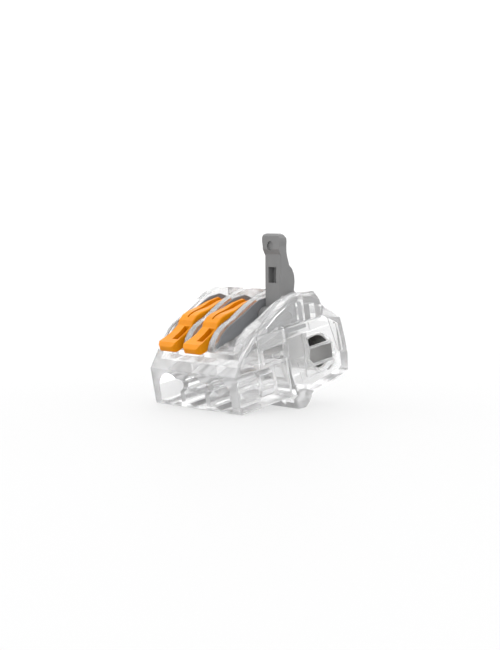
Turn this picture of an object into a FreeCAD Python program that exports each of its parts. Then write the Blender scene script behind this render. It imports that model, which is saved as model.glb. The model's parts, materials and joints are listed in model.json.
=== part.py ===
"""Three-pole lever wire connector: clear two-piece housing, three levers, cage clamps and a busbar.

The connector's own frame has Y = 0 on the wire entry face, +Y to the rear, Z = 0 on the base and
X = 0 midway between the side walls. The finished pieces are then stood on the front edge and the
rear foot, as the connector rests on a table, with the origin below the middle of the assembly.
"""
import FreeCAD, Part
import math
import os
import Sketcher
from FreeCAD import Placement, Rotation, Vector

DIMENSIONS = {
    # name: value in millimetres, or in degrees for an angle
    "width": 20.5,
    "pole_pitch": 5.9,
    "side_wall": 1.3,
    "web": 0.6,
    "skin": 0.8,
    "gap": 0.08,
    "edge_round": 0.35,
    "floor_top": 0.85,
    "entry_radius": 2.45,
    "entry_axis_z": 2.9,
    "guide_start": 5.2,
    "guide_end": 8.6,
    "guide_radius": 2.1,
    "seam_y": 11.1,
    "seam_z": 11.0,
    "tongue_front": 5.1,
    "tongue_bottom": 5.9,
    "tongue_depth": 0.48,
    "window_front": 6.0,
    "window_length": 5.25,
    "window_bottom": 6.45,
    "window_height": 2.2,
    "foot_reach": 12.0,
    "foot_drop": 2.2,
    "pivot_y": 13.0,
    "pivot_z": 11.9,
    "closed_tilt": 12.1,
    "opening": 112.0,
    "lever_reach": 13.05,
    "lever_half": 1.8,
    "thumb_half": 1.95,
    "crest_half": 1.35,
    "slot_half": 2.3,
    "hub_radius": 1.7,
    "cam_radius": 3.3,
    "trunnion_radius": 1.05,
    "trunnion_clearance": 0.1,
    "trunnion_end_gap": 0.12,
    "slot_rear": 16.6,
    "cheek": 0.3,
    "cheek_inset": 0.03,
    "strip": 0.4,
    "spring_half": 1.95,
    "loop_y": 19.4,
    "loop_z": 5.0,
    "loop_radius": 3.0,
    "leg_front": 11.6,
    "leg_travel": 14.0,
    "bar_bottom": 5.25,
    "bar_thickness": 0.7,
}
POLES = {"left": -1, "middle": 0, "right": 1}
OPEN_POLES = ("right",)
SIDES = {"right": 1, "left": -1}

doc = FreeCAD.newDocument("LeverConnector")
sheet = doc.addObject("Spreadsheet::Sheet", "Dimensions")
for row, (alias, value) in enumerate(DIMENSIONS.items(), start=1):
    sheet.set("A%d" % row, alias)
    sheet.set("B%d" % row, str(value))
    sheet.setAlias("B%d" % row, alias)
doc.recompute()


def size(alias):
    """The value of one driving dimension."""
    return float(sheet.get(alias))


def bind(obj, prop, formula):
    """Ties a property to the sheet. Aliases are written plainly in the formula."""
    for alias in sorted(DIMENSIONS, key=len, reverse=True):
        formula = formula.replace("[%s]" % alias, "Dimensions.%s" % alias)
    obj.setExpression(prop, formula)


# ---------------------------------------------------------------- construction helpers

def outline_body(name, points, pad_from, pad_to, plane_role="YZ_Plane"):
    """A PartDesign body padded from a closed outline: (y, z) points along X, or (x, y) points along Z."""
    body = doc.addObject("PartDesign::Body", name)
    plane = next(f for f in body.Origin.OriginFeatures if f.Role == plane_role)
    sketch = body.newObject("Sketcher::SketchObject", name + "_outline")
    sketch.AttachmentSupport = [(plane, "")]
    sketch.MapMode = "FlatFace"
    corners = [Vector(value_of(first), value_of(second), 0) for first, second in points]
    for start, end in zip(corners, corners[1:] + corners[:1]):
        sketch.addGeometry(Part.LineSegment(start, end), False)
    for index, corner in enumerate(points):
        following = (index + 1) % len(points)
        sketch.addConstraint(Sketcher.Constraint("Coincident", index, 2, following, 1))
        for kind, place in zip(("DistanceX", "DistanceY"), corner):
            number = sketch.addConstraint(Sketcher.Constraint(kind, -1, 1, index, 1, value_of(place)))
            if isinstance(place, str):
                bind(sketch, "Constraints[%d]" % number, place)
    bind(sketch, ".AttachmentOffset.Base.z", pad_from)
    pad = body.newObject("PartDesign::Pad", name + "_pad")
    pad.Profile = sketch
    bind(pad, "Length", "(%s) - (%s)" % (pad_to, pad_from))
    doc.recompute()
    return body


def value_of(place):
    """A plain number, or the value of a formula over the sheet's aliases in square brackets."""
    if not isinstance(place, str):
        return float(place)
    for alias in DIMENSIONS:
        place = place.replace("[%s]" % alias, repr(size(alias)))
    return float(FreeCAD.Units.parseQuantity(place).Value)


def dress(body, kind, amount, wanted):
    """Adds a PartDesign Fillet or Chamfer on the tip's edges that the test picks."""
    tip = body.Tip
    names = ["Edge%d" % n for n, edge in enumerate(tip.Shape.Edges, start=1) if wanted(edge)]
    feature = body.newObject("PartDesign::" + kind, body.Name + "_" + kind.lower() + str(len(body.Group)))
    feature.Base = (tip, names)
    bind(feature, "Radius" if kind == "Fillet" else "Size", amount)
    doc.recompute()
    return body


def side_edges(x):
    """Picks the edges that lie in either plane X = x or X = -x."""
    def test(edge):
        limits = edge.BoundBox
        return limits.XLength < 1e-6 and abs(abs(limits.XMin) - x) < 1e-6
    return test


def edges_at(*places):
    """Picks the edges along X through the given (y, z) places."""
    def test(edge):
        limits = edge.BoundBox
        along = limits.XLength > 1e-3 and limits.YLength < 1e-6 and limits.ZLength < 1e-6
        return along and any(math.hypot(limits.YMin - y, limits.ZMin - z) < 0.02 for y, z in places)
    return test


def box(name, x_from, x_to, y_from, y_to, z_from, z_to):
    """A Part box between limits given as formulas."""
    solid = doc.addObject("Part::Box", name)
    for prop, low, high in (("Length", x_from, x_to), ("Width", y_from, y_to), ("Height", z_from, z_to)):
        bind(solid, prop, "(%s) - (%s)" % (high, low))
    for axis, low in (("x", x_from), ("y", y_from), ("z", z_from)):
        bind(solid, "Placement.Base." + axis, str(low))
    return solid


def rod_along_x(name, radius, x_from, x_to, y, z):
    """A Part cylinder along X."""
    rod = doc.addObject("Part::Cylinder", name)
    rod.Placement.Rotation = Rotation(Vector(0, 1, 0), 90)
    bind(rod, "Radius", radius)
    bind(rod, "Height", "(%s) - (%s)" % (x_to, x_from))
    for axis, low in (("x", x_from), ("y", y), ("z", z)):
        bind(rod, "Placement.Base." + axis, str(low))
    return rod


def rod_along_y(name, radius, x, y_from, y_to, z, far_radius=None):
    """A Part cylinder along +Y, or a cone when a second radius is given."""
    rod = doc.addObject("Part::Cone" if far_radius else "Part::Cylinder", name)
    rod.Placement.Rotation = Rotation(Vector(1, 0, 0), -90)
    if far_radius:
        bind(rod, "Radius1", radius)
        bind(rod, "Radius2", far_radius)
    else:
        bind(rod, "Radius", radius)
    bind(rod, "Height", "(%s) - (%s)" % (y_to, y_from))
    for axis, low in (("x", x), ("y", y_from), ("z", z)):
        bind(rod, "Placement.Base." + axis, str(low))
    return rod


def fuse(name, pieces):
    """One solid from several that overlap."""
    joined = doc.addObject("Part::MultiFuse", name)
    joined.Shapes = pieces
    joined.Refine = True
    return joined


def cut(name, base, tools):
    """The base with every tool taken away."""
    result = doc.addObject("Part::Cut", name)
    result.Base = base
    result.Tool = tools[0] if len(tools) == 1 else fuse(name + "_tools", tools)
    result.Refine = True
    return result


def pole_x(pole):
    """The formula for the middle of a pole."""
    return "%d * [pole_pitch]" % POLES[pole]


# ---------------------------------------------------------------- profiles (y, z)

HALF = "[width] / 2"
INNER = "[width] / 2 - [side_wall]"
DECK_SLOPE = math.tan(math.radians(size("closed_tilt")))
DECK_GAP = 0.15
LIP_DROP = 0.35
LEVER_BELOW_AXIS = 0.2


def deck(y, drop=0.0):
    """Height of the slot floor under a closed lever, less a drop."""
    below = (LEVER_BELOW_AXIS + DECK_GAP) / math.cos(math.radians(size("closed_tilt")))
    return size("pivot_z") - below - (size("pivot_y") - y) * DECK_SLOPE - drop


HOUSING_OUTLINE = [
    (0.0, 0.0), (-0.1, 5.9), (1.3, 7.6), (2.6, 9.2), (4.0, 10.4), (7.1, 12.4), (10.4, 14.1),
    (13.0, 15.3), (15.7, 15.6), (18.2, 15.2), (19.3, 13.7), (19.65, 12.65), (18.9, "[seam_z]"),
    ("[seam_y]", "[seam_z]"), ("[seam_y] - 0.1", "[tongue_bottom]"), ("[seam_y]", 0.0),
]
GENTLE_CORNERS = [(2.6, 9.2), (4.0, 10.4), (7.1, 12.4), (13.0, 15.3), (15.7, 15.6)]
TIGHT_CORNERS = [(0.0, 0.0), (-0.1, 5.9), (18.2, 15.2)]
# The slots' walls stand higher than the side walls' outer edge.
RIM_TOP = [
    (1.9, 9.4), (2.6, 10.5), (3.5, 11.45), (4.5, 12.1), (5.7, 12.6), (7.1, 13.0), (8.4, 13.6), (10.3, 14.45),
]
RIM_OUTLINE = [(1.6, 7.6)] + RIM_TOP + [(12.2, 15.05), (13.6, 15.25), (13.6, 12.0), (6.0, 9.0)]
RIM_HALF = 9.3
RIM_BEVEL = 0.65
COVER_OUTLINE = [
    ("[seam_y] + [gap]", "[tongue_bottom]"), ("[seam_y] + [gap]", "[seam_z] - [gap]"),
    (18.95, "[seam_z] - [gap]"), (19.7, 12.6), (21.7, 11.2), (23.3, 9.8), (23.75, 6.8), (24.0, 3.9),
    (23.6, 1.2), (22.8, 0.6), (15.6, -0.3), (14.4, -1.75), ("[foot_reach] + 1.5", -2.35),
    ("[foot_reach]", "-[foot_drop]"), ("[seam_y] + 0.15", -1.1), ("[seam_y] + 0.15", -0.4),
    (12.0, 0.0), ("[seam_y] + [gap]", 3.6),
]


# ---------------------------------------------------------------- housing

OUTSIDE = 1.0
SLOT_MOUTH, SLOT_STEP, SLOT_BOTTOM, SLOT_ROOF = -1.5, 10.6, 9.0, 17.0
LIP_FLOOR_END, DECK_START = 3.3, 3.6
SLOT_OUTLINE = [
    (SLOT_MOUTH, deck(SLOT_MOUTH, LIP_DROP)), (LIP_FLOOR_END, deck(LIP_FLOOR_END, LIP_DROP)),
    (DECK_START, deck(DECK_START)), (SLOT_STEP, deck(SLOT_STEP)), (SLOT_STEP, SLOT_BOTTOM),
    ("[slot_rear]", SLOT_BOTTOM), ("[slot_rear]", SLOT_ROOF), (SLOT_MOUTH, SLOT_ROOF),
]
DECK_THICKNESS = 0.8
UNDER_DECK = [(1.9, 6.7), (2.9, deck(2.9, DECK_THICKNESS)), (12.5, deck(12.5, DECK_THICKNESS)), (12.5, 6.7)]
POCKET_DEPTH = 0.4
SIDE_POCKET = [(7.3, 11.75), (9.7, 13.1), (11.9, 14.05), (14.2, 14.3), (14.2, 11.25), (10.6, 11.35)]
SLIT_DEPTH = 0.7
SIDE_SLIT = [(2.4, 8.5), (2.55, 8.33), (5.15, 10.63), (5.0, 10.8)]


def wall_span(side, depth, beyond=OUTSIDE):
    """X limits from a depth inside one side wall's outer face to a distance beyond it."""
    near = "[width] / 2 - (%s)" % depth
    far = "[width] / 2 + (%s)" % beyond
    return (near, far) if side > 0 else ("-(%s)" % far, "-(%s)" % near)


def make_housing():
    """Clear front shell: wire entries, guides, lever slots, side walls and latch nubs."""
    sides = outline_body("housing_sides", HOUSING_OUTLINE, "-" + HALF, HALF)
    dress(sides, "Fillet", "2.2", edges_at(*GENTLE_CORNERS))
    dress(sides, "Fillet", "0.4", edges_at(*TIGHT_CORNERS))
    dress(sides, "Fillet", "[edge_round]", side_edges(size("width") / 2))
    rim = outline_body("housing_rim", RIM_OUTLINE, "-%s" % RIM_HALF, str(RIM_HALF))
    dress(rim, "Chamfer", str(RIM_BEVEL), rim_edges)
    block = fuse("housing_block", [sides, rim])
    tools = inside_rooms()
    for pole in POLES:
        x = pole_x(pole)
        tools += entry_tools(pole, x)
        tools.append(outline_body("slot_" + pole, SLOT_OUTLINE, x + " - [slot_half]", x + " + [slot_half]"))
    for name, side in SIDES.items():
        tools.append(outline_body("side_pocket_" + name, SIDE_POCKET, *wall_span(side, POCKET_DEPTH)))
        tools.append(box("tongue_seat_" + name, *wall_span(side, "[tongue_depth]"), "[tongue_front] - [gap]",
                         "13", "[tongue_bottom] - [gap]", "[seam_z]"))
        tools.append(outline_body("side_slit_" + name, SIDE_SLIT, *wall_span(side, SLIT_DEPTH)))
        tools.append(latch_box("latch_recess_" + name, *wall_span(side, LATCH_DEPTH)))
    shell = cut("housing_shell", block, tools)
    return fuse("housing", [shell] + [latch_nub(name, side) for name, side in SIDES.items()])


def rim_edges(edge):
    """Picks the rim's upper outside edges."""
    limits = edge.BoundBox
    outside = limits.XLength < 1e-6 and abs(abs(limits.XMin) - RIM_HALF) < 1e-6
    return outside and limits.ZMin > RIM_TOP[0][1] - 0.1 and limits.YMax > limits.YMin + 0.1


# Front, rear, floor and ceiling of each hollow.
ROOMS = {
    "clamp_room": ("[guide_end]", "13", "[floor_top]", "5.9"),
    "clamp_room_top": ("10.2", "13", "5.8", "9.5"),
    "roof_room": ("[slot_rear] + [skin]", "18.5", "10", "13.2"),
}
SCOOP = {"radius": "0.95", "y": "-0.1", "z": "3.6"}


def inside_rooms():
    """The hollow under the lever deck, the clamp room, the hollow roof and the scoop between the entries."""
    inside = "-(%s)" % INNER
    tools = [box(name, inside, INNER, *limits) for name, limits in ROOMS.items()]
    tools.append(outline_body("under_deck", UNDER_DECK, inside, INNER))
    tools.append(rod_along_x("partition_scoop", SCOOP["radius"], "-[pole_pitch] - 1", "[pole_pitch] + 1",
                             SCOOP["y"], SCOOP["z"]))
    return tools


FUNNEL_LENGTH = 0.8
GUIDE_RISE = 0.1


def entry_tools(pole, x):
    """The arched mouth, funnel and round guide of one wire entry."""
    guide_z = "[entry_axis_z] + %.2f" % GUIDE_RISE
    mouth = rod_along_y("entry_arch_" + pole, "[entry_radius]", x, "-1", "[guide_start]", "[entry_axis_z]")
    lower = box("entry_mouth_" + pole, x + " - [entry_radius]", x + " + [entry_radius]", "-1",
                "[guide_start]", "[floor_top]", "[entry_axis_z]")
    funnel = rod_along_y("entry_funnel_" + pole, "[entry_radius]", x, "[guide_start] - 0.01",
                         "[guide_start] + %.2f" % FUNNEL_LENGTH, guide_z, "[guide_radius]")
    guide = rod_along_y("entry_guide_" + pole, "[guide_radius]", x, "[guide_start]", "[guide_end] + 0.1",
                        guide_z)
    return [mouth, lower, funnel, guide]


LATCH_DEPTH = 0.9
NUB_DEPTH = 0.35
NUB = {"front": 8.5, "rear": 10.4, "bottom": 6.8, "top": 7.35}


def latch_box(name, x_from, x_to):
    """A box as large as the latch window, between two X limits."""
    return box(name, x_from, x_to, "[window_front]", "[window_front] + [window_length]", "[window_bottom]",
               "[window_bottom] + [window_height]")


def latch_nub(name, side):
    """The catch that stands in the window of the rear cover's tongue."""
    return box("latch_nub_" + name, *wall_span(side, LATCH_DEPTH + 0.1, -NUB_DEPTH), str(NUB["front"]),
               str(NUB["rear"]), str(NUB["bottom"]), str(NUB["top"]))


# ---------------------------------------------------------------- rear cover

COVER_SOFT_CORNERS = [(21.7, 11.2), (23.3, 9.8), (23.6, 1.2), (15.6, -0.3), (14.4, -1.75)]
COVER_ROOM = [
    (10.0, 1.55), (12.9, 1.55), (15.5, 0.7), (22.4, 1.7), (22.8, 3.9), (22.55, 6.7), (22.2, 9.3),
    (19.3, 11.3), (18.0, 12.0), (10.0, 12.0),
]
FRONT_CLEAR = [(10.0, 5.8), (13.0, 5.8), (13.0, 11.2), (10.0, 11.2)]
PANEL_DEPTH = 0.3
SIDE_PANELS = {
    "rear": [(20.4, 10.3), (22.3, 9.1), (22.65, 6.8), (22.8, 4.6), (21.9, 4.6)],
    "front": [(12.8, 5.0), (14.6, 5.0), (15.1, 4.2), (13.0, 4.2)],
    "lower": [(13.1, 3.4), (16.2, 3.4), (17.2, 2.2), (13.4, 1.7)],
}
COVER_WEB = [
    (13.6, 0.4), (13.6, "[bar_bottom]"), (17.2, "[bar_bottom]"), (17.2, 9.4), (22.9, 9.4), (23.3, 1.0),
]
NOTCH_HALF = 1.1
NOTCH_LIMITS = ("11", "12.9", "-1.4", "0.4")
THIN_WALL = 0.5
THIN_LIMITS = ("14.9", "22.3", "2.1", "9.1")


def make_rear_cover():
    """Clear rear cap: clamp room, barred side windows, snap tongues and the foot."""
    block = outline_body("cover_block", COVER_OUTLINE, "-" + HALF, HALF)
    dress(block, "Fillet", "0.6", edges_at(*COVER_SOFT_CORNERS))
    dress(block, "Fillet", "[edge_round]", side_edges(size("width") / 2))
    inside = "-(%s)" % INNER
    tools = [outline_body("cover_room", COVER_ROOM, inside, INNER),
             outline_body("cover_front_clear", FRONT_CLEAR, inside, INNER)]
    for name, side in SIDES.items():
        tools.append(barred_window(name, side))
        thin_span = wall_span(side, "[side_wall] + 0.1", -THIN_WALL)
        tools.append(box("thin_wall_" + name, *thin_span, *THIN_LIMITS))
        for place, panel in SIDE_PANELS.items():
            tools.append(outline_body("%s_panel_%s" % (place, name), panel, *wall_span(side, PANEL_DEPTH)))
    for pole in POLES:
        x = pole_x(pole)
        tools.append(box("foot_notch_" + pole, "%s - %.2f" % (x, NOTCH_HALF), "%s + %.2f" % (x, NOTCH_HALF),
                         *NOTCH_LIMITS))
    pieces = [cut("cover_shell", block, tools)]
    for name, side in SIDES.items():
        pieces.append(tongue(name, side))
        x = "%d * [pole_pitch] / 2" % side
        pieces.append(outline_body("cover_web_" + name, COVER_WEB, x + " - [web] / 2", x + " + [web] / 2"))
    return fuse("rear_cover", pieces)


WINDOW_DEPTH = 2.0
WINDOW_OUTLINE = [
    (15.3, 8.55), (18.4, 8.55), (19.9, 7.5), (20.95, 6.1), (21.3, 4.5), (20.8, 3.05), (19.2, 2.25),
    (17.5, 2.5), (16.4, 3.6), (15.4, 4.9), (15.75, 6.5),
]
BAR_LEVELS = (6.4, 3.6)
BAR_HEIGHT = 0.35
BAR_DEPTH = 0.6


def barred_window(name, side):
    """A side window over the spring loops, crossed by two level bars."""
    opening = outline_body("window_opening_" + name, WINDOW_OUTLINE, *wall_span(side, WINDOW_DEPTH))
    low, high = wall_span(side, BAR_DEPTH)
    bars = [box("window_bar_%s_%d" % (name, number), low, high, "14", "23", str(z), str(z + BAR_HEIGHT))
            for number, z in enumerate(BAR_LEVELS)]
    return cut("window_" + name, opening, bars)


def tongue(name, side):
    """A thin arm that reaches forward along the housing wall, with a latch window."""
    arm = box("tongue_arm_" + name, *wall_span(side, "[tongue_depth] - [gap]", "0"), "[tongue_front]",
              "[seam_y] + 0.6", "[tongue_bottom]", "[seam_z] - [gap]")
    hole = latch_box("tongue_hole_" + name, *wall_span(side, "[tongue_depth] + 1"))
    return cut("tongue_" + name, arm, [hole])


# ---------------------------------------------------------------- bearing frames

CHEEK_LIFT = 0.1
CHEEK_BACK = [
    (16.2, 13.9), (16.2, 11.0), (16.9, 10.5), (16.9, 9.6), (10.9, 9.6), (10.75, deck(10.75, -CHEEK_LIFT)),
]
LEFT_CHEEK_TOP = [
    (2.9, 10.0), (3.7, 11.0), (5.2, 12.0), (6.8, 12.6), (8.4, 13.2), (10.7, 14.2), (12.4, 14.75),
    (14.6, 14.8),
]
RIGHT_CHEEK_TOP = [(8.8, 11.6), (10.4, 12.6), (11.5, 13.4), (12.7, 14.0), (14.4, 14.3)]
CHEEK_STARTS = {"left": 2.3, "right": 8.4}
CHEEK_TOPS = {"left": LEFT_CHEEK_TOP, "right": RIGHT_CHEEK_TOP}
CHEEK_ROUND = 0.6
BRIDGE_LIMITS = ("16.2", "16.9", "9.6", "10.3")
BRIDGE_INSET = 0.1


def make_bearing_frame(pole):
    """Two cheeks that line one slot and hold the lever's trunnions, joined behind the slot."""
    x = pole_x(pole)
    plates = [make_cheek(pole, side) for side in SIDES]
    bridge = box("bridge_" + pole, "%s - [slot_half] + %.2f" % (x, BRIDGE_INSET),
                 "%s + [slot_half] - %.2f" % (x, BRIDGE_INSET), *BRIDGE_LIMITS)
    hole = rod_along_x("bearing_" + pole, "[trunnion_radius] + [trunnion_clearance]", x + " - [slot_half]",
                       x + " + [slot_half]", "[pivot_y]", "[pivot_z]")
    return cut("bearing_frame_" + pole, fuse("bearing_blank_" + pole, plates + [bridge]), [hole])


def make_cheek(pole, side):
    """One plate that lines a side of the slot."""
    x = pole_x(pole)
    wall = "([slot_half] - [cheek_inset])"
    if side == "left":
        low, high = "%s - %s" % (x, wall), "%s - %s + [cheek]" % (x, wall)
    else:
        low, high = "%s + %s - [cheek]" % (x, wall), "%s + %s" % (x, wall)
    start, top = CHEEK_STARTS[side], CHEEK_TOPS[side]
    outline = [(start, deck(start, -CHEEK_LIFT))] + top + CHEEK_BACK
    plate = outline_body("cheek_%s_%s" % (pole, side), outline, low, high)
    return dress(plate, "Fillet", str(CHEEK_ROUND), edges_at(*top[1:], CHEEK_BACK[0]))


# ---------------------------------------------------------------- levers

# Side profile in the lever's own frame: thumb lip, underside, heel, crest, shoulder, waist and thumb pad.
LEVER_PROFILE = [
    ("-[lever_reach]", -0.35), ("-[lever_reach] + 0.35", -0.6), ("-[lever_reach] + 2.4", -0.6),
    ("-[lever_reach] + 3.2", -LEVER_BELOW_AXIS), (1.0, -LEVER_BELOW_AXIS), (1.5, 1.2), (0.8, 2.5),
    (-1.2, 2.75), (-3.1, 2.7), (-5.6, 2.95), (-6.6, 2.85), (-7.6, 2.4), (-8.15, 1.8), (-9.6, 1.35),
    (-11.1, 1.05), (-12.35, 0.9), ("-[lever_reach]", 0.4),
]
# Right half of the lever's plan: rounded thumb pad, waist and heel.
RIGHT_PLAN = [
    ("[thumb_half] - 0.75", "-[lever_reach] - 0.02"), ("[thumb_half] - 0.25", "-[lever_reach] + 0.2"),
    ("[thumb_half]", "-[lever_reach] + 0.7"), ("[thumb_half]", "-[lever_reach] + 1.2"),
    ("[lever_half]", "-[lever_reach] + 2.0"), ("[lever_half]", 2.5),
]
PLAN_HEIGHTS = ("-1", "4")
EDGE_SOFTNESS = 0.25
LEDGE_HEIGHT = 1.9
LEDGE_START, CREST_START, LEDGE_END = -4.2, -0.8, 2.6


def make_lever(pole):
    """A lever in its own frame: pivot at the origin, thumb end towards -Y, top towards +Z."""
    side = outline_body("lever_side_" + pole, LEVER_PROFILE, "-[thumb_half]", "[thumb_half]")
    tip = -size("lever_reach")
    dress(side, "Fillet", "0.3", edges_at((tip, 0.4), (tip, -0.35), (-5.6, 2.95), (-7.6, 2.4), (-8.15, 1.8)))
    left_plan = [("-(%s)" % x, y) for x, y in reversed(RIGHT_PLAN)]
    above = outline_body("lever_plan_" + pole, RIGHT_PLAN + left_plan, *PLAN_HEIGHTS, "XY_Plane")
    blade = doc.addObject("Part::Common", "lever_blade_" + pole)
    blade.Base = side
    blade.Tool = above
    doc.recompute()
    blade = soften(blade, "lever_soft_" + pole, EDGE_SOFTNESS, long_side_edges)
    hub = rod_along_x("lever_hub_" + pole, "[hub_radius]", "-[lever_half]", "[lever_half]", "0", "0")
    trunnions = rod_along_x("trunnions_" + pole, "[trunnion_radius]", "-[slot_half] + [trunnion_end_gap]",
                            "[slot_half] - [trunnion_end_gap]", "0", "0")
    crest_sides = [crest_side(pole, side) for side in (-1, 1)]
    blank = cut("lever_crest_" + pole, blade, crest_sides)
    blank.Refine = False
    body = fuse("lever_blank_" + pole, [blank, hub, trunnions, cam_lobe(pole)])
    lever = cut("lever_" + pole, body, pockets(pole) + [dimple(pole), ridge_groove(pole)])
    lever.Refine = False
    return lever


def crest_side(pole, side):
    """What is taken off one side of the lever's top, so that the crest narrows towards the pivot."""
    edge = "[lever_half] + 1"
    outline = [("[lever_half] + 0.05", LEDGE_START), ("[crest_half]", CREST_START),
               ("[crest_half]", LEDGE_END), (edge, LEDGE_END), (edge, LEDGE_START)]
    if side < 0:
        outline = [("-(%s)" % x, y) for x, y in outline]
    top = PLAN_HEIGHTS[1]
    return outline_body("crest_side_%s_%d" % (pole, side + 1), outline, str(LEDGE_HEIGHT), top, "XY_Plane")


# Limits along X, along the lever and in height of the pocket in the waist and the one underneath.
POCKETS = {"waist_pocket": ((0.2, 1.55), (-11.4, -8.3), (0.1, 3.0)),
           "under_pocket": ((-0.95, 0.8), (-7.85, -5.4), (-1.0, 0.9))}


def pockets(pole):
    """The two blind pockets that lighten a lever."""
    tools = []
    for name, spans in POCKETS.items():
        limits = [str(limit) for span in spans for limit in span]
        tools.append(box("%s_%s" % (name, pole), *limits))
    return tools


DIMPLE_RADIUS, DIMPLE_HEIGHT = 0.72, 0.5
DIMPLE_BASE = Vector(-0.15, -11.15, -0.8)


def dimple(pole):
    """A shallow round mark under the thumb end."""
    mark = doc.addObject("Part::Cylinder", "dimple_" + pole)
    mark.Radius = DIMPLE_RADIUS
    mark.Height = DIMPLE_HEIGHT
    mark.Placement.Base = DIMPLE_BASE
    return mark


def soften(base, name, radius, wanted):
    """A Part fillet on the edges that the test picks."""
    chosen = [(n, radius, radius) for n, edge in enumerate(base.Shape.Edges, start=1) if wanted(edge)]
    rounded = doc.addObject("Part::Fillet", name)
    rounded.Base = base
    rounded.Edges = chosen
    doc.recompute()
    return rounded


def long_side_edges(edge):
    """Picks the long edges where a lever's flanks meet its top and underside."""
    limits = edge.BoundBox
    flank = min(abs(limits.XMin), abs(limits.XMax)) > size("lever_half") - 0.5
    return flank and limits.YLength > 1.1 and limits.ZLength < 0.45


NOSE_HALF = 0.5
LOBE_INSET = 0.3


def cam_lobe(pole):
    """The nose on the hub that presses the clamp spring down as the lever opens."""
    down_when_open = math.radians(size("opening") - size("closed_tilt") - 90)
    reach = size("cam_radius")
    flank = size("hub_radius")
    y, z = math.cos(down_when_open), math.sin(down_when_open)
    nose = [(-flank * z, flank * y), (reach * y - NOSE_HALF * z, reach * z + NOSE_HALF * y),
            (reach * y + NOSE_HALF * z, reach * z - NOSE_HALF * y), (flank * z, -flank * y)]
    low, high = "-[lever_half] + %.2f" % LOBE_INSET, "[lever_half] - %.2f" % LOBE_INSET
    return outline_body("cam_lobe_" + pole, nose, low, high)


def ridge_groove(pole):
    """A long groove between two ridges, widening from the shoulder to the pivot."""
    front, flare, back, bottom = -7.0, -1.5, 1.8, 1.75
    narrow, wide = 0.15, 0.75
    right = [(narrow, front), (wide, flare), (wide, back)]
    left = [(-x, y) for x, y in reversed(right)]
    return outline_body("ridge_groove_" + pole, right + left, str(bottom), PLAN_HEIGHTS[1], "XY_Plane")


# ---------------------------------------------------------------- clamp springs and busbar

def arc_points(start, end, radius, steps):
    """Points on the loop, with angles in degrees from the rearward horizontal."""
    angles = [math.radians(start + (end - start) * n / steps) for n in range(steps + 1)]
    return [(size("loop_y") + radius * math.cos(a), size("loop_z") + radius * math.sin(a)) for a in angles]


def thick_strip(name, centre_line, x):
    """Extrudes a strip of even thickness from its centre line."""
    half_thickness = size("strip") / 2
    left, right = [], []
    for index, (y, z) in enumerate(centre_line):
        before = centre_line[max(index - 1, 0)]
        after = centre_line[min(index + 1, len(centre_line) - 1)]
        direction = Vector(after[0] - before[0], after[1] - before[1], 0).normalize()
        left.append((y - direction.y * half_thickness, z + direction.x * half_thickness))
        right.append((y + direction.y * half_thickness, z - direction.x * half_thickness))
    return outline_body(name, left + right[::-1], x + " - [spring_half]", x + " + [spring_half]")


LOOP_ANGLES = (84, -150)
LOOP_STEPS = 18
TAIL_REAR, TAIL_FRONT, TAIL_DROP = 16.4, 14.4, 0.25


def make_spring_loop(pole):
    """The fixed part of a clamp spring: the loop and the tail hooked under the busbar."""
    radius = size("loop_radius") - size("strip") / 2
    tail_z = size("bar_bottom") - TAIL_DROP
    line = arc_points(*LOOP_ANGLES, radius, LOOP_STEPS) + [(TAIL_REAR, tail_z), (TAIL_FRONT, tail_z)]
    return thick_strip("spring_loop_" + pole, line, pole_x(pole))


LEG_ANGLES = (90, 100)
LEG_LINE = [(17.0, 8.2), (13.4, 8.65), (12.6, 8.65), (12.0, 8.4)]
CLAMP_END = [(0.08, 7.9), (0.0, 7.2), (0.0, 3.9)]
CLAMP_WINDOW_HALF = 1.35
CLAMP_WINDOW_LIMITS = ("[leg_front] - 1", "[leg_front] + 0.35", "5.0", "8.1")


def make_spring_leg(pole):
    """The moving part of a clamp spring: the leg and its clamping window around the busbar."""
    radius = size("loop_radius") - size("strip") / 2
    front = size("leg_front")
    line = arc_points(*LEG_ANGLES, radius, 2) + LEG_LINE + [(front + behind, z) for behind, z in CLAMP_END]
    x = pole_x(pole)
    leg = thick_strip("spring_strip_" + pole, line, x)
    window = box("clamp_window_" + pole, "%s - %.2f" % (x, CLAMP_WINDOW_HALF),
                 "%s + %.2f" % (x, CLAMP_WINDOW_HALF), *CLAMP_WINDOW_LIMITS)
    return cut("spring_leg_" + pole, leg, [window])


SIDE_PLATE = {"inner": 2.05, "outer": 2.4}
# Front, rear, bottom and top of the side plates beside a clamp and beside its spring loop.
PLATE_LIMITS = {"clamp_plate": ("12.3", "17.0", "[bar_bottom]", "8.7"),
                "loop_plate": ("16.3", "22.3", "3.1", "6.1")}
CROSS_BAR = {"front": "13.9", "rear": "16.6"}
FINGER = {"half": "1.1", "front": "10.3", "rear": "14.2"}


def make_busbar():
    """A tinned copper comb: a cross bar, a finger through each clamp, and plates beside each spring."""
    bottom, top = "[bar_bottom]", "[bar_bottom] + [bar_thickness]"
    reach = "[pole_pitch] + %.2f" % SIDE_PLATE["outer"]
    pieces = [box("cross_bar", "-(%s)" % reach, reach, CROSS_BAR["front"], CROSS_BAR["rear"], bottom, top)]
    for pole in POLES:
        x = pole_x(pole)
        pieces.append(box("finger_" + pole, "%s - %s" % (x, FINGER["half"]), "%s + %s" % (x, FINGER["half"]),
                          FINGER["front"], FINGER["rear"], bottom, top))
        for name, side in SIDES.items():
            low, high = sorted((side * SIDE_PLATE["inner"], side * SIDE_PLATE["outer"]))
            for plate, limits in PLATE_LIMITS.items():
                pieces.append(box("%s_%s_%s" % (plate, pole, name), "%s + %f" % (x, low),
                                  "%s + %f" % (x, high), *limits))
    return fuse("busbar", pieces)


# ---------------------------------------------------------------- assembly

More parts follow.
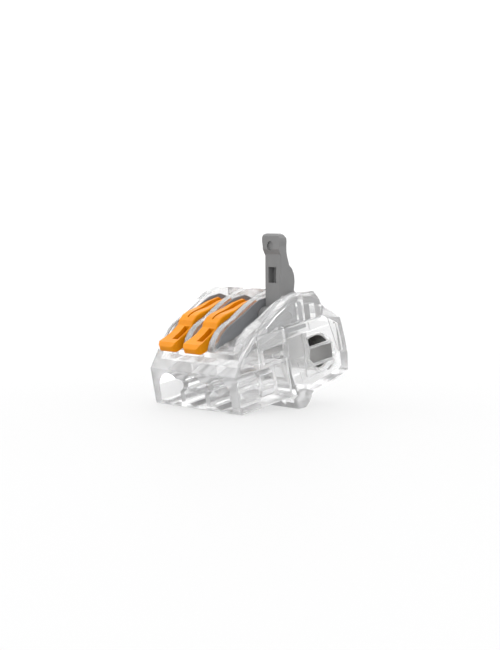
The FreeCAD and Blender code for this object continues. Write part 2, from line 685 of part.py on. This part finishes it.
def lever_place(pole):
    """A lever's place in the connector's own frame, closed or standing open."""
    angle = size("closed_tilt") - (size("opening") if pole in OPEN_POLES else 0)
    return Placement(Vector(value_of(pole_x(pole)), size("pivot_y"), size("pivot_z")),
                     Rotation(Vector(1, 0, 0), angle))


def leg_place(pole):
    """A spring leg's place: level with its closed lever, or pressed down about the loop."""
    if pole not in OPEN_POLES:
        return Placement()
    centre = Vector(0, size("loop_y"), size("loop_z"))
    return Placement(Vector(), Rotation(Vector(1, 0, 0), size("leg_travel")), centre)


def main():
    local = {}
    parts = {"housing": make_housing(), "rear_cover": make_rear_cover(), "busbar": make_busbar()}
    for pole in POLES:
        parts["bearing_frame_" + pole] = make_bearing_frame(pole)
        parts["spring_loop_" + pole] = make_spring_loop(pole)
        parts["spring_leg_" + pole] = make_spring_leg(pole)
        local["spring_leg_" + pole] = leg_place(pole)
        parts["lever_" + pole] = make_lever(pole)
        local["lever_" + pole] = lever_place(pole)
    doc.recompute()

    lean = math.degrees(math.atan2(size("foot_drop"), size("foot_reach")))
    stand = Placement(Vector(), Rotation(Vector(1, 0, 0), lean))
    for name, part in parts.items():
        part.Label = name
        part.Placement = stand * local.get(name, Placement())
    doc.recompute()
    whole = FreeCAD.BoundBox()
    for part in parts.values():
        whole.add(part.Shape.optimalBoundingBox())
    shift = Placement(Vector(-whole.Center.x, -whole.Center.y, -whole.ZMin), Rotation())
    for name, part in parts.items():
        part.Placement = shift * stand * local.get(name, Placement())
    doc.recompute()

    for obj in doc.Objects:
        if "Invalid" in obj.State or "Error" in obj.State:
            raise RuntimeError("%s failed: %s" % (obj.Name, obj.State))
    os.makedirs("parts", exist_ok=True)
    for name, part in parts.items():
        shape = part.Shape
        if shape.isNull() or not shape.isValid() or shape.Volume <= 0:
            raise RuntimeError("%s is not a sound solid" % name)
        print("%-22s solids %d volume %8.2f mm3" % (name, len(shape.Solids), shape.Volume))
        shape.exportStep("parts/%s.step" % name)
    report_places(shift * stand, lean, whole)


def report_places(frame, lean, whole):
    """Prints the places that the record repeats, in metres in the assembly's frame."""
    print("lean %.4f deg, box %.3f x %.3f x %.3f mm" % (lean, whole.XLength, whole.YLength, whole.ZLength))
    own = {"lever pivot": Vector(0, size("pivot_y"), size("pivot_z")),
           "spring pivot": Vector(0, size("loop_y"), size("loop_z")),
           "entry mouth": Vector(0, size("guide_start") + 0.8, size("entry_axis_z") + 0.1),
           "foot": Vector(0, size("foot_reach"), -size("foot_drop")), "front edge": Vector(0, 0, 0)}
    for name, place in own.items():
        world = frame.multVec(place)
        print("%-14s %9.5f %9.5f %9.5f" % (name, world.x / 1000, world.y / 1000, world.z / 1000))
    out = frame.Rotation.multVec(Vector(0, -1, 0))
    print("outward axis of the entries %.5f %.5f %.5f" % (out.x, out.y, out.z))


main()
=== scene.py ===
"""Looks of the three-pole lever wire connector: clear shells, orange and grey levers, metal strips."""
import json
import math

import bmesh
import bpy
from mathutils import Matrix, Vector


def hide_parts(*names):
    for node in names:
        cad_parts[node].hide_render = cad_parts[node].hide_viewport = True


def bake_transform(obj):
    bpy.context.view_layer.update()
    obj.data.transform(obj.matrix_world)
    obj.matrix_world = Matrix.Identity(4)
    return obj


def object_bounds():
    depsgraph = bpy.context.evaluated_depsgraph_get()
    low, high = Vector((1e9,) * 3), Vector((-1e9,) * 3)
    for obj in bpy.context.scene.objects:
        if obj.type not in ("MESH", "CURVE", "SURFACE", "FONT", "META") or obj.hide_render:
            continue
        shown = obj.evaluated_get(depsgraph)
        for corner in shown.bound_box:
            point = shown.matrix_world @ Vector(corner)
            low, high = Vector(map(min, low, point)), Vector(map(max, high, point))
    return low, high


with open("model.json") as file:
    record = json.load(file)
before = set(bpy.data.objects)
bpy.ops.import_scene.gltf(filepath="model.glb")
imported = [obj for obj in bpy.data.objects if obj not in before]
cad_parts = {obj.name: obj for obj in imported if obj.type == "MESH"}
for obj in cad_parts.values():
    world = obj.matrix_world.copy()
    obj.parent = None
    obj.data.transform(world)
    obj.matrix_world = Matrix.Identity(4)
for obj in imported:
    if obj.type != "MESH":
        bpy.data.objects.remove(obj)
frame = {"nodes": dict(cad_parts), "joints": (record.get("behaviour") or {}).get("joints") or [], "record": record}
cad_low, cad_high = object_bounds()

MM = 0.001
POLES = ("left", "middle", "right")
JOINTS = {joint["name"]: joint for joint in frame["joints"]}
MOUNTS = {mount["name"]: mount for mount in frame["record"]["mounts"]}

# The connector's own axes, tilted back from the frame's by the lean of its base.
BASE_DOWN = Vector(MOUNTS["base_face"]["axis"])
OWN_UP = -BASE_DOWN
OWN_REAR = OWN_UP.cross(Vector((1, 0, 0)))
SPRING_AXIS = {pole: Vector(JOINTS["clamp_flex_" + pole]["pos_m"]) for pole in POLES}


# ---------------------------------------------------------------- materials

def new_material(name, **sockets):
    """A Principled material with constants on the shader's own sockets."""
    material = bpy.data.materials.new(name)
    material.use_nodes = True
    shader = material.node_tree.nodes["Principled BSDF"]
    for socket, value in sockets.items():
        shader.inputs[socket.replace("_", " ")].default_value = value
    return material, shader


def noise(material, scale, detail=3.0, stretch=(1, 1, 1)):
    """A noise texture in the object's own metres."""
    nodes, links = material.node_tree.nodes, material.node_tree.links
    place = nodes.new("ShaderNodeTexCoord")
    mapping = nodes.new("ShaderNodeMapping")
    mapping.inputs["Scale"].default_value = stretch
    texture = nodes.new("ShaderNodeTexNoise")
    texture.inputs["Scale"].default_value = scale
    texture.inputs["Detail"].default_value = detail
    links.new(place.outputs["Object"], mapping.inputs["Vector"])
    links.new(mapping.outputs["Vector"], texture.inputs["Vector"])
    return texture


def shades(owner, source, low, high):
    """Maps a value onto a range of grey or colour. Each end is a position and a colour."""
    nodes, links = owner.node_tree.nodes, owner.node_tree.links
    node = nodes.new("ShaderNodeValToRGB")
    for element, (position, colour) in zip(node.color_ramp.elements, (low, high)):
        element.position = position
        element.color = colour
    links.new(source, node.inputs["Fac"])
    return node.outputs["Color"]


NOISE_LOW, NOISE_HIGH = 0.3, 0.7


def ramp(material, source, low, high):
    """Maps a noise onto a range of grey or colour."""
    return shades(material, source.outputs["Fac"], (NOISE_LOW, low), (NOISE_HIGH, high))


def bump(material, shader, source, strength, distance):
    """Fine relief from a noise."""
    nodes, links = material.node_tree.nodes, material.node_tree.links
    node = nodes.new("ShaderNodeBump")
    node.inputs["Strength"].default_value = strength
    node.inputs["Distance"].default_value = distance
    links.new(source.outputs["Fac"], node.inputs["Height"])
    links.new(node.outputs["Normal"], shader.inputs["Normal"])


def grey(value):
    """An opaque grey."""
    return (value, value, value, 1)


FINE_RELIEF = 0.02 * MM
WAVE_RELIEF = 0.1 * MM


def moulded_plastic(name, colour, darker, roughness):
    """Nylon with a faint flow pattern and fine moulding texture."""
    material, shader = new_material(name, Roughness=roughness, IOR=1.53, Specular_IOR_Level=0.1)
    links = material.node_tree.links
    flow = ramp(material, noise(material, scale=350, detail=4), darker, colour)
    links.new(flow, shader.inputs["Base Color"])
    bump(material, shader, noise(material, scale=5200, detail=2), strength=0.25, distance=FINE_RELIEF)
    return material


def clear_polycarbonate():
    """Clear moulded polycarbonate with slight haze, flow waves and uneven gloss."""
    material, shader = new_material("clear_polycarbonate", IOR=1.46, Transmission_Weight=0.85)
    shader.inputs["Base Color"].default_value = (0.995, 0.996, 0.998, 1)
    links = material.node_tree.links
    gloss = ramp(material, noise(material, scale=420), grey(0.06), grey(0.14))
    links.new(gloss, shader.inputs["Roughness"])
    bump(material, shader, noise(material, scale=260, detail=2), strength=0.15, distance=WAVE_RELIEF)
    return material


LINE_STRETCH = (0.15, 3, 3)


def strip_metal(name, colour, roughness):
    """Rolled strip with fine lines along its width."""
    material, shader = new_material(name, Metallic=1.0)
    shader.inputs["Base Color"].default_value = colour
    links = material.node_tree.links
    lines = noise(material, scale=900, detail=4, stretch=LINE_STRETCH)
    gloss = ramp(material, lines, grey(roughness - 0.08), grey(roughness + 0.1))
    links.new(gloss, shader.inputs["Roughness"])
    bump(material, shader, lines, strength=0.3, distance=FINE_RELIEF)
    return material


# Lighter colour, darker colour and roughness of each nylon.
NYLONS = {
    "orange_nylon": ((0.6, 0.212, 0.001, 1), (0.53, 0.178, 0.001, 1), 0.42),
    "grey_nylon": (grey(0.178), grey(0.164), 0.45),
    "slate_nylon": ((0.19, 0.194, 0.202, 1), (0.17, 0.174, 0.182, 1), 0.42),
}
# Colour and roughness of each metal.
METALS = {
    "spring_steel": ((0.66, 0.655, 0.645, 1), 0.42),
    "tinned_copper": ((0.27, 0.267, 0.263, 1), 0.45),
}


def dress_nodes():
    """Gives every CAD node its material, by the record's material slots."""
    looks = {"clear_polycarbonate": clear_polycarbonate()}
    for name, look in NYLONS.items():
        looks[name] = moulded_plastic(name, *look)
    for name, look in METALS.items():
        looks[name] = strip_metal(name, *look)
    for subpart in frame["record"]["subparts"]:
        node = frame["nodes"][subpart["node"]]
        node.data.materials.clear()
        node.data.materials.append(looks[subpart["material_slot"]])
    return looks


# ---------------------------------------------------------------- clamp springs

# Thickness, half width, half width of the clamping window and the loop's middle radius, in millimetres.
STRIP = 0.4
STRIP_HALF = 1.95
WINDOW_HALF = 1.35
LOOP_RADIUS = 2.8
LOOP_START, LOOP_SWEEP, LOOP_STEPS = -150, 240, 28
# Points in millimetres from the loop's centre: rearwards, upwards.
TAIL = [(-3.9, 0.0), (-3.3, 0.0), (-2.85, -0.55)]
LEG = [(-1.2, 2.95), (-2.4, 3.1), (-4.2, 3.38), (-6.0, 3.65), (-6.6, 3.66), (-7.1, 3.5), (-7.5, 3.2),
       (-7.74, 2.8), (-7.8, 2.2), (-7.8, 1.4), (-7.8, 0.6), (-7.8, 0.0), (-7.8, -0.6), (-7.8, -1.1)]
# The point of the leg where the clamping window starts, and the point where it ends, counted from the tip.
WINDOW_FIRST, WINDOW_LAST = 9, 2
MIDDLE_COLUMN = 1
EDGE_ROUND = 0.06
CREASE_ANGLE = 35


def spring_line(pressed):
    """The strip's middle line in millimetres, and the point where its clamping window starts.

    pressed is the angle in degrees by which the leg is turned down."""
    angles = [math.radians(LOOP_START + LOOP_SWEEP * step / LOOP_STEPS) for step in range(LOOP_STEPS + 1)]
    loop = [(LOOP_RADIUS * math.cos(angle), LOOP_RADIUS * math.sin(angle)) for angle in angles]
    turn = Matrix.Rotation(math.radians(pressed), 2)
    turned = [tuple(turn @ Vector(point)) for point in LEG]
    return TAIL + loop + turned, len(TAIL) + len(loop) + WINDOW_FIRST


def spring_mesh(pole):
    """One bent steel strip with its clamping window."""
    joint = JOINTS["clamp_flex_" + pole]
    pressed = -joint["range_deg"][0]
    line, window_start = spring_line(pressed)
    centre = SPRING_AXIS[pole]
    columns = (-STRIP_HALF, -WINDOW_HALF, WINDOW_HALF, STRIP_HALF)
    mesh = bmesh.new()
    rows = []
    for along, up in line:
        foot = centre + (OWN_REAR * along + OWN_UP * up) * MM
        rows.append([mesh.verts.new(foot + Vector((x * MM, 0, 0))) for x in columns])
    for index, (row, following) in enumerate(zip(rows, rows[1:])):
        window = window_start <= index < len(rows) - WINDOW_LAST
        for column in range(len(columns) - 1):
            if window and column == MIDDLE_COLUMN:
                continue
            mesh.faces.new((row[column], row[column + 1], following[column + 1], following[column]))
    mesh.normal_update()
    data = bpy.data.meshes.new("clamp_spring_" + pole)
    mesh.to_mesh(data)
    mesh.free()
    spring = bpy.data.objects.new("clamp_spring_" + pole, data)
    bpy.context.scene.collection.objects.link(spring)
    solid = spring.modifiers.new("thickness", "SOLIDIFY")
    solid.thickness = STRIP * MM
    solid.offset = 0
    edge = spring.modifiers.new("edges", "BEVEL")
    edge.width = EDGE_ROUND * MM
    edge.segments = 2
    apply_modifiers(spring)
    smooth(spring)
    return spring


def apply_modifiers(piece):
    """Replaces a piece's mesh by what its modifiers make of it."""
    graph = bpy.context.evaluated_depsgraph_get()
    final = bpy.data.meshes.new_from_object(piece.evaluated_get(graph))
    piece.modifiers.clear()
    piece.data = final


def smooth(piece):
    """Shades smooth, with creases kept at sharp edges."""
    piece.data.shade_smooth()
    piece.data.set_sharp_from_angle(angle=math.radians(CREASE_ANGLE))


def make_springs(steel):
    """The three clamp springs, each one strip bent from the connector into its clamp leg, set with the leg turned
    down to the joint's pressed limit.
    """
    for pole in POLES:
        spring = spring_mesh(pole)
        spring.data.materials.append(steel)
        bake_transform(spring)
        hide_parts("spring_loop_" + pole, "spring_leg_" + pole)


# ---------------------------------------------------------------- stage, light and camera

FLOOR_HALF = 3.0
FLOOR_GLOW = 0.665
# Distance from the middle and grey, close to the connector and far from it; the darker grey close to the connector
# is painted shade.
FLOOR_SHADE_NEAR = (0.02, grey(0.12))
FLOOR_SHADE_FAR = (0.4, grey(0.185))


def make_floor():
    """A white table top, with painted shade making it a touch greyer around the connector."""
    mesh = bpy.data.meshes.new("floor")
    corners = [(-FLOOR_HALF, -FLOOR_HALF, 0), (FLOOR_HALF, -FLOOR_HALF, 0),
               (FLOOR_HALF, FLOOR_HALF, 0), (-FLOOR_HALF, FLOOR_HALF, 0)]
    mesh.from_pydata(corners, [], [(0, 1, 2, 3)])
    floor = bpy.data.objects.new("floor", mesh)
    bpy.context.scene.collection.objects.link(floor)
    material, shader = new_material("white_table", Roughness=0.7, Specular_IOR_Level=0.1,
                                    Emission_Strength=FLOOR_GLOW)
    shader.inputs["Emission Color"].default_value = grey(1.0)
    nodes, links = material.node_tree.nodes, material.node_tree.links
    place = nodes.new("ShaderNodeTexCoord")
    distance = nodes.new("ShaderNodeVectorMath")
    distance.operation = "LENGTH"
    links.new(place.outputs["Object"], distance.inputs[0])
    # Painted shade: the floor's base colour is darker close to the connector.
    shade = shades(material, distance.outputs["Value"], FLOOR_SHADE_NEAR, FLOOR_SHADE_FAR)
    links.new(shade, shader.inputs["Base Color"])
    mesh.materials.append(material)


# Place from the connector's middle, width and height in metres, and power in watts.
LIGHTS = {
    "overhead": ((0, 0.05, 0.5), 0.5, 0.5, 0.5),
    "key": ((-0.45, -0.25, 0.35), 0.3, 0.4, 0.35),
}


def make_lights(middle):
    """A soft box overhead and a weak one from the left, both pointed at the connector."""
    for name, (offset, width, height, power) in LIGHTS.items():
        data = bpy.data.lights.new(name, "AREA")
        data.shape = "RECTANGLE"
        data.size = width
        data.size_y = height
        data.energy = power
        light = bpy.data.objects.new(name, data)
        light.location = middle + Vector(offset)
        light.rotation_euler = (middle - light.location).to_track_quat("-Z", "Y").to_euler()
        bpy.context.scene.collection.objects.link(light)


ROOM_SIDE = (0.62, -0.72, 0.31)
TENT_STRENGTH = 1.95
# How far a direction faces the room side, and its grey, for the tent's wall and for its opening.
TENT_WALL = (0.35, grey(1.0))
TENT_OPENING = (0.9, grey(0.78))


def make_world():
    """A white light tent that opens to a dimmer room on the near side."""
    world = bpy.data.worlds.new("tent")
    bpy.context.scene.world = world
    world.use_nodes = True
    nodes, links = world.node_tree.nodes, world.node_tree.links
    place = nodes.new("ShaderNodeTexCoord")
    facing = nodes.new("ShaderNodeVectorMath")
    facing.operation = "DOT_PRODUCT"
    facing.inputs[1].default_value = ROOM_SIDE
    links.new(place.outputs["Generated"], facing.inputs[0])
    shade = shades(world, facing.outputs["Value"], TENT_WALL, TENT_OPENING)
    links.new(shade, nodes["Background"].inputs["Color"])
    nodes["Background"].inputs["Strength"].default_value = TENT_STRENGTH


CAMERA_AZIMUTH = 48.0
CAMERA_ELEVATION = 5.4
CAMERA_DISTANCE = 0.250
CAMERA_LENS = 87.8
CAMERA_SHIFT = (0.0178, 0.0385)
CAMERA_SENSOR = 36
CAMERA_CLIP = 0.01
# The camera aims this far in front of the middle lever's pivot and below it, in millimetres.
AIM_FORWARD, AIM_DOWN = 3.0, 4.9


def make_camera():
    """A near-level long-lens view from the front right."""
    azimuth, elevation = math.radians(CAMERA_AZIMUTH), math.radians(CAMERA_ELEVATION)
    back = Vector((math.sin(azimuth) * math.cos(elevation), -math.cos(azimuth) * math.cos(elevation),
                   math.sin(elevation)))
    pivot = Vector(JOINTS["lever_swing_middle"]["pos_m"])
    target = pivot - OWN_REAR * AIM_FORWARD * MM - OWN_UP * AIM_DOWN * MM
    data = bpy.data.cameras.new("camera")
    data.sensor_width = CAMERA_SENSOR
    data.lens = CAMERA_LENS
    data.shift_x, data.shift_y = CAMERA_SHIFT
    data.clip_start = CAMERA_CLIP
    camera = bpy.data.objects.new("camera", data)
    camera.location = target + back * CAMERA_DISTANCE
    camera.rotation_euler = back.to_track_quat("Z", "Y").to_euler()
    bpy.context.scene.collection.objects.link(camera)
    bpy.context.scene.camera = camera


def set_colour():
    """A neutral view transform and enough light bounces for clear walls."""
    scene = bpy.context.scene
    scene.view_settings.view_transform = "Standard"
    scene.cycles.max_bounces = 24
    scene.cycles.transmission_bounces = 20
    scene.cycles.transparent_max_bounces = 16
    scene.cycles.caustics_refractive = True


make_camera()
looks = dress_nodes()
make_springs(looks["spring_steel"])
make_floor()
make_world()
make_lights((Vector(cad_low) + Vector(cad_high)) / 2)
set_colour()
